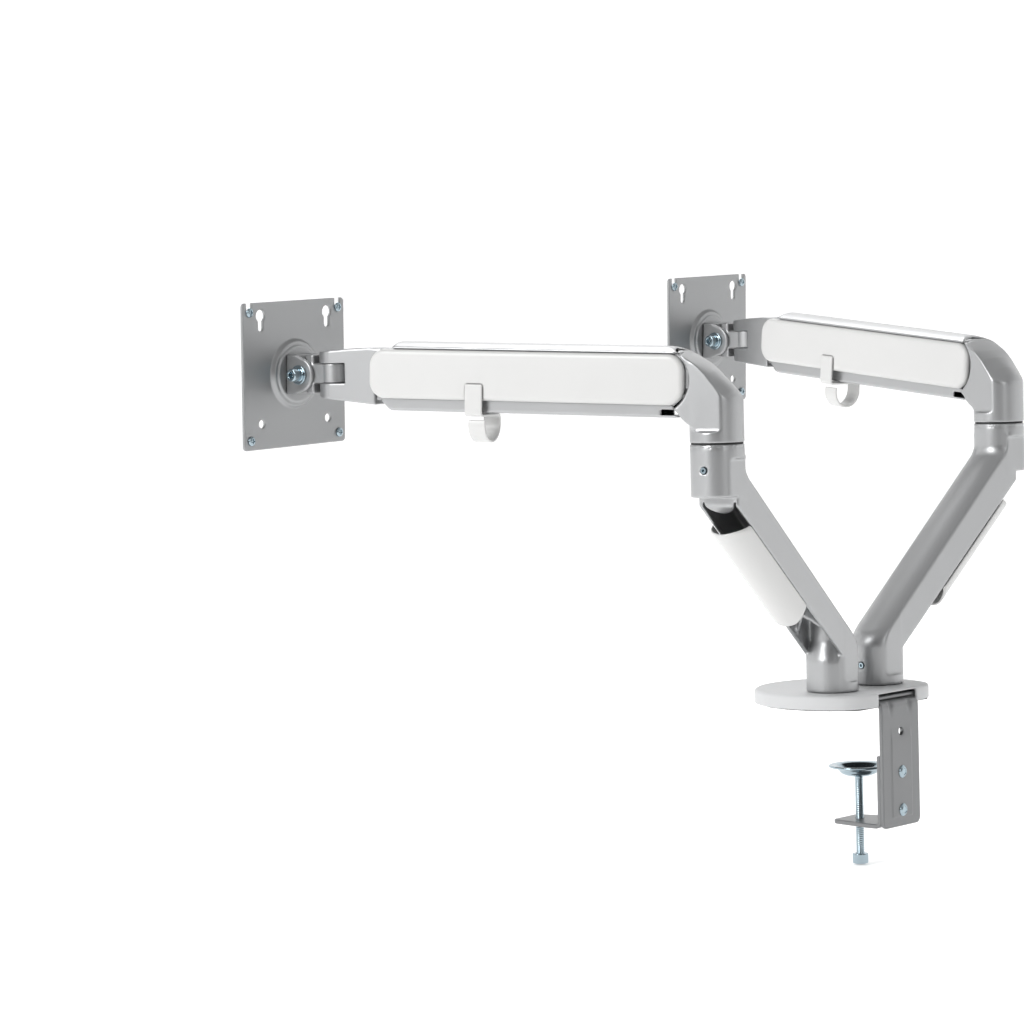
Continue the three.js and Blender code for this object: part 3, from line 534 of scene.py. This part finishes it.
def lower_arm(x, y, z):
    head = JOINT - 0.6
    low = (under_line(x) - z) / math.hypot(1, UNDER_SLOPE)
    top = (z - top_line(x) + arch_drop(y)) / math.hypot(1, TOP_SLOPE)
    foot_tube = overlap(round_bar(x, y, TUBE) + 0 * z, 0.3 - z, 0.5)
    rear = smooth_step(-(x + 0 * y + 0 * z) / 14)
    foot_tube = rear * overlap(foot_tube, top, 6) + (1 - rear) * overlap(foot_tube, top, 1.0)
    head_tube = overlap(round_bar(x, y, TUBE, REACH) + 0 * z, between(z, 161, head), 0.6)
    beam = overlap(np.abs(y) - CHEEK + 0 * x + 0 * z, top, 1.0)
    beam = overlap(beam, np.maximum(low, np.maximum(-x, x - REACH)), 0.5)
    behind = np.maximum(low, between(z, 150, JOINT - 11))
    step = overlap(np.abs(y) - CHEEK + 0 * x, np.maximum(behind, np.maximum(REACH - 9.5 - x, x - REACH)), 1.0)
    body = np.minimum(join(foot_tube, beam), step)
    inner = smooth_step((REACH - 4 - x + 0 * y + 0 * z) / 8)
    body = inner * join(body, head_tube, 4.0) + (1 - inner) * join(body, head_tube)

    # both sides are cut flat between two scooped ledges
    ledges = overlap(CHEEK - np.abs(y) + 0 * x, between(z, 8, JOINT - 11), 2.6)
    body = carve(body, ledges, 0.7)

    # channel below, following the arched back, with a boss left round each socket
    foot_boss = np.hypot(x, y) - TUBE + 4.6 * smooth_step((z - 22) / 20)
    dome = np.sqrt(((x - REACH) / 14) ** 2 + (y / 14) ** 2 + ((z - 163) / 18) ** 2) * 14 - 14
    head_boss = np.minimum(dome, np.maximum(round_bar(x, y, 16.4, REACH), 163 - z))
    channel = overlap(np.abs(y) - CHEEK + 3.2, np.maximum(top + 4, np.maximum(9 - x, x - 172)), 1.5)
    channel = np.maximum(channel, z - 172 + 0 * x)
    channel = carve(channel, np.minimum(foot_boss, head_boss), 1.5)
    body = carve(body, channel, 0.6)

    # two crossed ribs, kept back from the mouth
    for turn in (40, -40):
        angle = math.radians(turn)
        across = -(x - 44) * math.sin(angle) + y * math.cos(angle)
        rib = np.maximum(np.maximum(np.abs(across) - 1, low + 5), np.maximum(top + 2, np.abs(y) - 15))
        body = join(body, np.maximum(rib, np.abs(x - 44) - 22), 0.8)
    body = carve(body, np.maximum(round_bar(x, y, POST + 0.3), z - 42), 0.4)
    body = carve(body, np.maximum(round_bar(x, y, POST + 0.3, REACH), 164.5 - z), 0.4)
    ring = np.maximum(np.abs(np.hypot(x - REACH, y) - TUBE) - 0.5, np.abs(z - head + 1.9) - 0.35)
    body = carve(body, ring, 0.2)
    body = carve(body, np.maximum(round_bar(y, z, 2.6, 0, 16), x + 16), 0.3)
    return carve(body, np.maximum(round_bar(y, z, 2.6, 0, JOINT - 19.5), REACH + 16 - x), 0.3)


def cable_cover(t, y, n):
    """An arc of sheet across, its plan a rectangle with round corners, thickened 2 mm."""
    half_width, bulge, half_length = 17.3, 13.8, 59
    radius = (half_width ** 2 + bulge ** 2) / (2 * bulge)
    shell = np.abs(np.hypot(y, n - (radius - bulge)) - (radius - 1)) - 1 + 0 * t
    plan = rounded_rect(t, y, (-half_length, -half_width - 0.5), (half_length, half_width + 0.5), 13)
    return overlap(shell, np.maximum(plan, n - 1.2), 0.7)


# ---------- elbow ----------
RIDGE = [(-TUBE, 31), (-19.3, 34.2), (-16, 39), (-10, 45.2), (-0.5, 53.2), (8, 59), (16, 63.9), (23, 68),
         (27, 70.2),
         (30.5, 71.5), (36, 73)]


def elbow(x, y, z):
    foot = 0.6
    ridge = polygon(x, z, [(-60, -20), (-60, -30), (90, -30), (90, 73), *RIDGE[::-1], (-TUBE, -20)])
    forward = smooth_step((x + 16) / 28)
    ridge = ridge + (1 - forward) * arch_drop(y) + forward * 0.9 * (y / CHEEK) ** 2
    tube = overlap(round_bar(x, y, TUBE) + 0 * z, foot - z, 0.6)
    front = polygon(x, z, [(0, 11), (12, 12), (17, 15), (20.9, 18.5), (23.5, 22.3), (27.5, 26),
                           (42, 31), (42, 90), (0, 90)])
    cheeks = np.maximum(np.abs(y) - CHEEK + 0 * x + 0 * z, front)
    body = overlap(join(tube, cheeks, 2.5), ridge, 1.0)
    ledge = overlap(CHEEK - np.abs(y) + 0 * x, 8.5 - z, 2.6)
    body = carve(body, ledge, 0.7)

    # room for the covers and the crown to swing, and for the lower link between the cheeks
    pivot = round_bar(x, z, 25.2, PIVOT_X, PIVOT_Z) + 0 * y
    lower = np.maximum(round_bar(x, z, 20.4, PIVOT_X, PIVOT_Z - LINK_DROP), np.abs(y) - 13.9)
    body = carve(carve(body, pivot, 0.5), lower, 0.8)

    tongue = polygon(x, z, [
        *arc(PIVOT_X, PIVOT_Z, 9, 0, 110, 8), (20, 55), (8, 49), (6, 36), (26, PIVOT_Z - LINK_DROP + 2),
        *arc(PIVOT_X, PIVOT_Z - LINK_DROP, 6, 200, 360, 10),
    ])
    body = join(body, overlap(tongue + 0 * y, np.abs(y) - 8.5, 0.6), 1.0)
    body = join(body, np.maximum(round_bar(x, y, POST), between(z, -34, 5)))
    return carve(body, np.maximum(round_bar(x, y, 8), z - 4), 0.4)


# ---------- upper arm ----------
def crown_height(y):
    return 20.6 + 4.2 * (1 - (y / 17) ** 2)


def top_link(x, y, z):
    """An inverted channel under an arched crown, its rear end cut to swing about the pivot."""
    crown = overlap(z - crown_height(y) + 0 * x, np.maximum(np.abs(y) - 17, 19.4 - z), 0.6)
    walls = np.maximum(np.abs(np.abs(y) - 12.6) - 0.8, between(z, -6.5, 20)) + 0 * x
    body = join(crown, walls, 0.3)
    body = carve(body, np.maximum(z - crown_height(y) + 2.2, np.abs(y) - 11.8), 0.5)
    side = polygon(x, z, [
        *arc(0, 0, 24.9, 195, 92, 14), (10, 28), (LINK - 7.5, 28),
        *arc(LINK, 0, 20.3, 112, 130, 4), (LINK - 8, 7),
        *arc(LINK, 0, 6.5, 120, -90, 8), (0, -6.5),
    ])
    return overlap(body, side + 0 * y, 0.5)


def bottom_link(x, y, z):
    """A channel open at the top, with a cable slot at the rear of each wall."""
    outside = overlap(np.abs(y) - 13.2, -13.5 - z, 2.6)
    body = overlap(outside, z - 3.8, 0.3)
    body = carve(body, overlap(np.abs(y) - 11.6, -11.9 - z, 1.4), 0.3) + 0 * x
    side = polygon(x, z, [
        (-14, -8.5), *arc(-11.5, -11, 2.5, 180, 270, 6), (LINK - 4, -13.5), (LINK + 4, -6),
        *arc(LINK, 0, 6, -40, 39, 6), (-4.5, 3.8),
    ])
    body = overlap(body, side + 0 * y, 0.5)
    slot = rounded_rect(x, z, (-20, -11.6), (-1.2, -7.2), 0.8) + 0 * y
    return carve(body, slot, 0.25)


def side_cover(recess):
    """A long slab with round ends, its outer edge rolled over and its face slightly crowned."""
    def field(x, y, z):
        outline = rounded_rect(x, z, (PAD_REAR, -PAD_HALF), (PAD_FRONT, PAD_HALF), 13)
        face = y - PAD_OUT + 0.25 * (z / PAD_HALF) ** 2
        body = overlap(outline + 0 * y, face + 0 * x, 3.6)
        body = overlap(body, PAD_IN - y, 0.3)
        if recess:
            notch = rounded_rect(x, z, (HOOK_X - HOOK_HALF - 0.6, -60), (HOOK_X + HOOK_HALF + 0.6, -6.1), 2.5)
            body = carve(body, np.maximum(notch, PAD_OUT - 1.6 - y), 0.35)
        return body
    return field


def cable_hook(x, y, z):
    """A strip 1.9 mm thick folded down the cover, under the link and round in a loop."""
    tab, under, loop, centre = PAD_OUT + 0.5, -30.2, 13.0, -37.5
    line = [(tab, -7.4), (tab, under + 2.4), *arc(tab - 2.4, under + 2.4, 2.4, -15, -90, 5), (2, under),
            (-loop + 3.5, under), *arc(-loop + 2.5, under - 2.5, 2.5, 100, 180, 5),
             *arc(0, centre, loop, 182, 372, 30)]
    strip = to_line(y, z, line) - 0.95
    return overlap(strip + 0 * x, np.abs(x - HOOK_X) - HOOK_HALF, 0.8)


# ---------- head ----------
def front_knuckle(x, y, z):
    tip = SWIVEL_X + 13.2
    side = polygon(x, z, [(9.3, -24), (tip, -17.6), (tip, 17.6), (33, 19.7),
                          (14, 20.2), (3, 19.2), (3, 15.2), (9.3, 14)])
    plan = np.minimum(overlap(np.abs(y) - 13.5, x - SWIVEL_X), round_bar(x, y, 13.3, SWIVEL_X))
    body = overlap(side + 0 * y, plan + 0 * z, 1.3)
    gap = np.maximum(between(z, -6.9, 8.6), SWIVEL_X - 14 - x) + 0 * y
    body = carve(body, gap, 0.6)
    tongue = polygon(x, z, [*arc(0, 0, 6.5, 90, 180, 6), *arc(0, -LINK_DROP, 5.4, 180, 270, 6),
                            (14, -19), (14, 6.5)])
    body = join(body, overlap(tongue + 0 * y, np.abs(y) - 10.8, 0.5), 0.8)
    lip = polygon(x, z, [*arc(0, 0, 19, 118, 70, 10), (9.8, 14), *arc(0, 0, 15.5, 70, 118, 10)])
    body = join(body, overlap(lip + 0 * y, np.abs(y) - 11.3, 0.4), 0.4)
    return carve(body, round_bar(x, y, 4.3, SWIVEL_X) + 0 * z, 0.4)


def swivel_block(x, y, z):
    """A tongue with a round end in the fork, and a barrel between the bracket's ears."""
    tongue = overlap(np.minimum(round_bar(x, y, 12), np.maximum(np.abs(y) - 11.6, between(x, 0, 18))) + 0 * z,
                     between(z, -6.6, 8.3), 0.6)
    shoulder = overlap(np.abs(y) - 11.6 + 0 * x,
                       np.maximum(between(x, 14.4, 22), between(z, -14.5, 15.5)), 1.2)
    barrel = overlap(round_bar(x, z, 10.6, TILT_X) + 0 * y, np.abs(y) - 11.7, 0.6)
    body = join(join(tongue, shoulder, 1.0), barrel, 1.5)
    return carve(body, round_bar(x, y, 4.3) + 0 * z, 0.3)


def tilt_bracket(x, y, z):
    """A U of sheet: two ears round the bolt, each a tangent fan from the web to a round end."""
    half = 15.5
    ear = polygon(x, z, [(14.2, -half), (14.2, half), (5, half), *arc(0, 0, 13, 100, 260, 24), (5, -half)])
    body = overlap(ear + 0 * y, np.abs(y) - 15, 1.4)
    body = carve(body, overlap(x - 11.2 + 0 * y, np.abs(y) - 12, 1.2) + 0 * z, 0.5)
    body = carve(body, round_bar(x, z, 4.3) + 0 * y, 0.3)
    return carve(body, np.maximum(round_bar(y, z, 6.3), 5 - x), 0.3)


def tilt_bolt(x, y, z):
    """Along z: a washer and a socket cap head on one ear, a nut on the other."""
    face = 15.3
    shank = np.maximum(round_bar(x, y, 4), between(z, -face - 6.5, face + 1))
    washer = overlap(round_bar(x, y, 7.6) + 0 * z, between(z, face, face + 1.6), 0.3)
    head = overlap(round_bar(x, y, 5) + 0 * z, between(z, face + 1.4, face + 9.6), 0.8)
    hexagon, nut = -np.inf, -np.inf
    for turn in range(3):
        angle = math.pi * turn / 3
        flat = np.abs(x * math.cos(angle) + y * math.sin(angle))
        hexagon, nut = np.maximum(hexagon, flat - 2.5), np.maximum(nut, flat - 6.5)
    nut = overlap(nut, between(z, -face - 5.5, -face), 0.5)
    head = carve(head, np.maximum(hexagon, face + 5 - z), 0.4)
    return join(join(shank, washer), join(head, nut))


def vesa_plate(x, y, z):
    """A flat plate with a stepped round dish pressed back towards the arm, and its VESA holes."""
    r = np.hypot(y, z)
    dish = 3.2 * smooth_step((28 - r) / 3.2) + 1.3 * smooth_step((23.2 - r) / 1.8)
    body = np.abs(x - PLATE_BACK - PLATE / 2 + dish) - PLATE / 2
    plan = rounded_rect(y, z, (-PLATE_HALF, -PLATE_HALF), (PLATE_HALF, PLATE_HALF), 3.2)
    body = overlap(body, plan + 0 * x, 0.5)
    holes = round_bar(y, z, 6.3)
    for side in (-1, 1):
        slot = to_line(y, z, [(side * VESA, VESA), (side * VESA, VESA + 20)]) - 3
        neck = to_line(y, z, [(side * SMALL_VESA, SMALL_VESA), (side * SMALL_VESA, KEYHOLE_TOP)]) - 2.7
        key = np.minimum(neck, round_bar(y, z, 4.8, side * SMALL_VESA, KEYHOLE_TOP))
        lower = np.minimum(round_bar(y, z, 2.6, side * VESA, -VESA),
                           round_bar(y, z, 3.3, side * SMALL_VESA, -SMALL_VESA))
        holes = np.minimum(holes, np.minimum(np.minimum(slot, key), lower))
    return carve(body, holes + 0 * x, 0.3)


def cross_screw(x, y, z):
    """A pan-head screw along z with a cross recess, its shank below zero."""
    dome = np.sqrt(x * x + y * y + (z + 3.2) ** 2) - 5.6
    head = overlap(round_bar(x, y, 3.7) + 0 * z, np.maximum(dome, -z), 0.4)
    cross = np.minimum(np.maximum(np.abs(x) - 0.45, np.abs(y) - 2),
                       np.maximum(np.abs(y) - 0.45, np.abs(x) - 2))
    shank = np.maximum(round_bar(x, y, 1.9), between(z, -6, 0.2))
    return carve(join(head, shank), np.maximum(cross, 1 - z), 0.2)


# ---------- both arms, from one set of shapes ----------
def make_shapes():
    slope = Matrix.Rotation(-math.atan(UNDER_SLOPE), 4, "Y")
    middle = 105.9
    cover_place = np.array(Matrix.Translation((middle, 0, under_line(middle) - 2.5)) @ slope)
    mirror = np.diag([1.0, -1.0, 1.0, 1.0])
    cover_shape = solid(side_cover(False), (-22, 13, -20), (243, 19, 20), (1.2, 0.5, 0.8))
    plain_points, plain_quads = moved(cover_shape, mirror)
    return {
        "lower_arm": solid(lower_arm, (-21, -21, 0), (183, 21, 201), 1.1),
        "cable_cover": moved(solid(cable_cover, (-60, -18, -14.5), (60, 18, 3), (0.9, 0.6, 0.6)),
                             cover_place),
        "elbow": solid(elbow, (-21, -21, -35), (51, 21, 75), 0.8),
        "top_link": solid(top_link, (-25, -18, -8), (238, 18, 26), (1.3, 0.65, 0.65)),
        "bottom_link": solid(bottom_link, (-15, -14, -14), (237, 14, 5), (1.3, 0.55, 0.55)),
        "hook_side_cover": solid(side_cover(True), (-22, 13, -20), (243, 19, 20), (1.0, 0.5, 0.8)),
        "plain_side_cover": (plain_points, plain_quads[:, ::-1]),
        "cable_hook": solid(cable_hook, (143, -16, -53), (159, 21, -5), 0.5),
        "front_knuckle": solid(front_knuckle, (-10, -15, -25), (65, 15, 21), 0.7),
        "swivel_block": solid(swivel_block, (-13, -13, -15), (38, 13, 17), 0.6),
        "tilt_bracket": solid(tilt_bracket, (-14, -16, -16), (15, 16, 16), 0.5),
        "tilt_bolt": solid(tilt_bolt, (-8, -8, -22), (8, 8, 26), 0.45),
        "vesa_plate": solid(vesa_plate, (13, -58, -58), (23, 58, 58), (0.55, 0.8, 0.8)),
        "cross_screw": solid(cross_screw, (-4, -4, -6), (4, 4, 3), 0.28),
    }


PARTS = [
    # shape, frame, body, material, slot
    ("lower_arm", "lower", "lower_arm", powder_on_casting, "painted_alloy"),
    ("cable_cover", "lower", "lower_arm", white_abs, "white_plastic"),
    ("elbow", "elbow", "elbow", powder_on_casting, "painted_alloy"),
    ("top_link", "upper", "upper_arm", powder_on_link, "painted_alloy"),
    ("hook_side_cover", "upper", "upper_arm", white_abs, "white_plastic"),
    ("plain_side_cover", "upper", "upper_arm", white_abs, "white_plastic"),
    ("cable_hook", "upper", "upper_arm", white_abs, "white_plastic"),
    ("bottom_link", "link", "lower_link", powder_on_link, "painted_alloy"),
    ("front_knuckle", "knuckle", "front_knuckle", powder_on_casting, "painted_alloy"),
    ("swivel_block", "swivel", "swivel", powder_on_casting, "painted_alloy"),
    ("tilt_bracket", "tilt", "tilt", powder_on_steel, "painted_steel"),
    ("vesa_plate", "plate", "plate", powder_on_steel, "painted_steel"),
]


def make_arm(arm, shapes):
    frames = arm_frames(arm)
    for shape, where, body, material, slot in PARTS:
        build(f"{arm}_{shape}_skin", shapes[shape], material, f"{arm}_{body}",
              [f"{arm}_{shape}"], frames[where])
    # the bolt's axis lies along the tilt axis, its head on the hook's side
    along_y = np.array(Matrix.Rotation(math.radians(-90), 4, "X"))
    build(f"{arm}_tilt_bolt_skin", moved(shapes["tilt_bolt"], along_y), zinc_plate, f"{arm}_tilt",
          [f"{arm}_tilt_bolt"], frames["tilt"])
    # four monitor screws, heads on the arm's side of the plate
    facing_back = np.array(Matrix.Rotation(math.radians(-90), 4, "Y"))
    for n, (y, z) in enumerate([(-VESA, -VESA), (VESA, -VESA), (-VESA, VESA), (VESA, VESA)]):
        place = np.array(Matrix.Translation((PLATE_BACK - 0.1, y, z))) @ facing_back
        build(f"{arm}_plate_screw_{n + 1}", moved(shapes["cross_screw"], place), zinc_plate,
              f"{arm}_plate",
              (), frames["plate"])


def finish_cad_nodes():
    """Small pieces keep their CAD shape and take a real finish."""
    looks = {
        "desk_pad": black_foam, "elbow_washer": black_nylon, "spring_cylinder": black_enamel,
    }
    for name, node in frame["nodes"].items():
        plain = name.removeprefix("right_").removeprefix("left_")
        node.data.materials.clear()
        node.data.materials.append(looks.get(plain, zinc_plate))


# ---------- studio ----------
def camera():
    """A long lens from behind and beside the desk, level with the elbows."""
    azimuth, pitch, roll = math.radians(49.74), math.radians(3.2), math.radians(-1.48)
    distance, offset, height = 2.77134, 0.26666, 0.31188
    towards = Vector((math.sin(azimuth), math.cos(azimuth), 0))
    right = Vector((-math.cos(azimuth), math.sin(azimuth), 0))
    data = bpy.data.cameras.new("camera")
    data.lens = 124.37
    data.sensor_width = 36
    data.clip_end = 50
    eye = bpy.data.objects.new("camera", data)
    look = -towards * math.cos(pitch) - Vector((0, 0, math.sin(pitch)))
    turn = look.to_track_quat("-Z", "Y").to_matrix().to_4x4() @ Matrix.Rotation(roll, 4, "Z")
    position = towards * distance - right * offset + Vector((0, 0, height))
    eye.matrix_world = Matrix.Translation(position) @ turn
    bpy.context.scene.collection.objects.link(eye)
    bpy.context.scene.camera = eye


def area_light(name, place, target, size, power):
    data = bpy.data.lights.new(name, "AREA")
    data.shape = "RECTANGLE"
    data.size, data.size_y = size
    data.energy = power
    lamp = bpy.data.objects.new(name, data)
    aim = (Vector(target) - Vector(place)).to_track_quat("-Z", "Y").to_matrix().to_4x4()
    lamp.matrix_world = Matrix.Translation(place) @ aim
    bpy.context.scene.collection.objects.link(lamp)


def studio():
    """White paper that curves up all round into a wall, under soft lights. Its colour is painted shade that
    greys it towards the camera's side, and it glows faintly with painted light.
    """
    floor_z = -0.1285
    radius = np.concatenate([np.linspace(0.05, 4, 30),
                             4 + 2 * np.sin(np.linspace(0.1, np.pi / 2, 16)), [6.0]])
    height = np.concatenate([np.zeros(30), 2 - 2 * np.cos(np.linspace(0.1, np.pi / 2, 16)), [5.0]])
    points, quads = turned(np.stack([radius, height], 1), 96)
    mesh = bpy.data.meshes.new("floor")
    mesh.from_pydata((points + [0, 0, floor_z]).tolist(), [], quads[:, ::-1].tolist() + [list(range(96))])
    mesh.polygons.foreach_set("use_smooth", np.ones(len(mesh.polygons), bool))
    paper = bpy.data.materials.new("paper")
    paper.use_nodes = True
    tree = paper.node_tree
    tree.nodes.clear()
    place = add_node(tree, "ShaderNodeTexCoord")
    # painted shade: the paper is white near the arms and greys to dark grey on the camera's side, so faces
    # turned to the camera reflect it darker
    side = add_node(tree, "ShaderNodeVectorMath", {"operation": "DOT_PRODUCT"}, {"Vector": (place, "Object")})
    side.inputs[1].default_value = (0.76, 0.65, 0.0)
    shade = add_node(tree, "ShaderNodeMapRange",
                     {"From Min": 0.5, "From Max": 4.5, "To Min": 0.96, "To Max": 0.1},
                     {"Value": (side, "Value")})
    painted_shade_glow_colour = add_node(tree, "ShaderNodeCombineColor", None, {
        "Red": (shade, "Result"), "Green": (shade, "Result"), "Blue": (shade, "Result"),
    })
    # painted light: the paper glows faintly in its painted-shade colour, though it is no lamp
    surface = add_node(tree, "ShaderNodeBsdfPrincipled", {"Roughness": 0.9, "Emission Strength": 0.35},
                       {"Base Color": (painted_shade_glow_colour, "Color"), "Emission Color": (painted_shade_glow_colour, "Color")})
    add_node(tree, "ShaderNodeOutputMaterial", None, {"Surface": (surface, "BSDF")})
    mesh.materials.append(paper)
    floor = bpy.data.objects.new("floor", mesh)
    bpy.context.scene.collection.objects.link(floor)
    world = bpy.data.worlds.new("studio")
    world.use_nodes = True
    world.node_tree.nodes["Background"].inputs["Color"].default_value = linear("#ffffff")
    world.node_tree.nodes["Background"].inputs["Strength"].default_value = 0.45
    bpy.context.scene.world = world
    bpy.context.scene.view_settings.view_transform = "Standard"
    middle = (0, -0.15, 0.15)
    area_light("key", (2.9, -0.6, 1.7), middle, (1.0, 2.0), 62)
    area_light("fill", (1.4, 3.2, 1.4), middle, (0.5, 2.2), 13)
    area_light("rim", (-1.6, -1.4, 2.9), middle, (1.6, 1.6), 36)


camera()
studio()
finish_cad_nodes()
make_base()
SHAPES = make_shapes()
for side_name in ARMS:
    make_arm(side_name, SHAPES)
